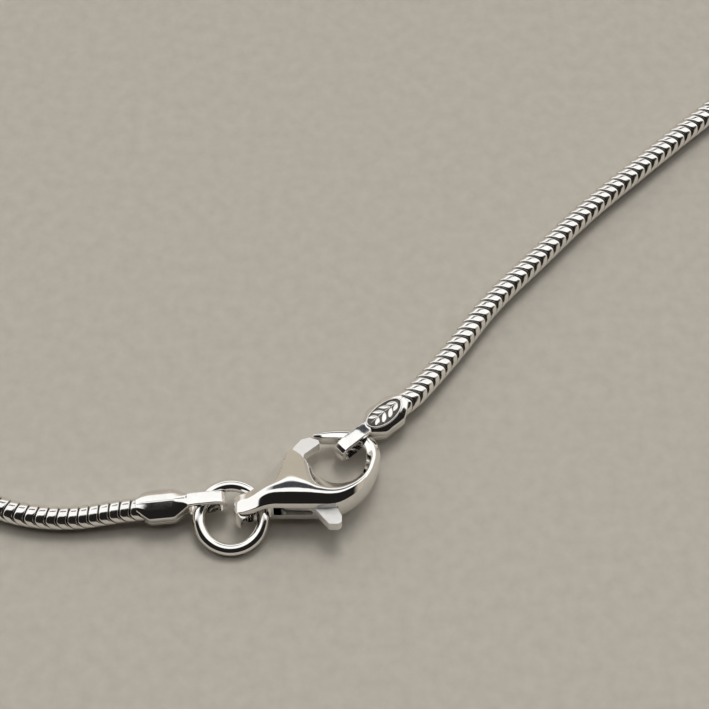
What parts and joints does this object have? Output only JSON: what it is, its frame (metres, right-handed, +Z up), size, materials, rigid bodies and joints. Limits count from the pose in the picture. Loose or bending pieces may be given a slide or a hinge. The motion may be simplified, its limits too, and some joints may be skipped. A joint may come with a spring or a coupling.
{
  "type": "snake chain necklace",
  "caption": "Round snake chain necklace with leaf-tipped end caps, a jump ring and a lobster clasp, closed and lying in a loop on a surface.",
  "frame": {"origin": "middle of the whole loop's box, on the surface the necklace lies on", "axes": "+X to the right of the picture, +Y away from its camera, +Z up from the surface"},
  "size_m": [0.1368, 0.1592, 0.004],
  "materials": {
    "silver": "polished sterling silver with darker recesses in the ornament",
    "chain_silver": "polished silver links with dark gaps"
  },
  "bodies": {
    "necklace": {"chain": "chain_silver", "end_cap_left": "silver", "end_cap_right": "silver", "jump_ring": "silver", "clasp_body": "silver", "lever_pin": "silver"},
    "lever": {"clasp_lever": "silver"}
  },
  "joints": [
    {"name": "lever_pivot", "type": "hinge", "parent": "necklace", "child": "lever", "pos_m": [-0.00046, -0.07355, 0.00199], "axis": [0, -0.1132, -0.9936], "range_deg": [0, 18], "stiffness_Nm_per_rad": 0.01, "springref_deg": -34.38}
  ]
}
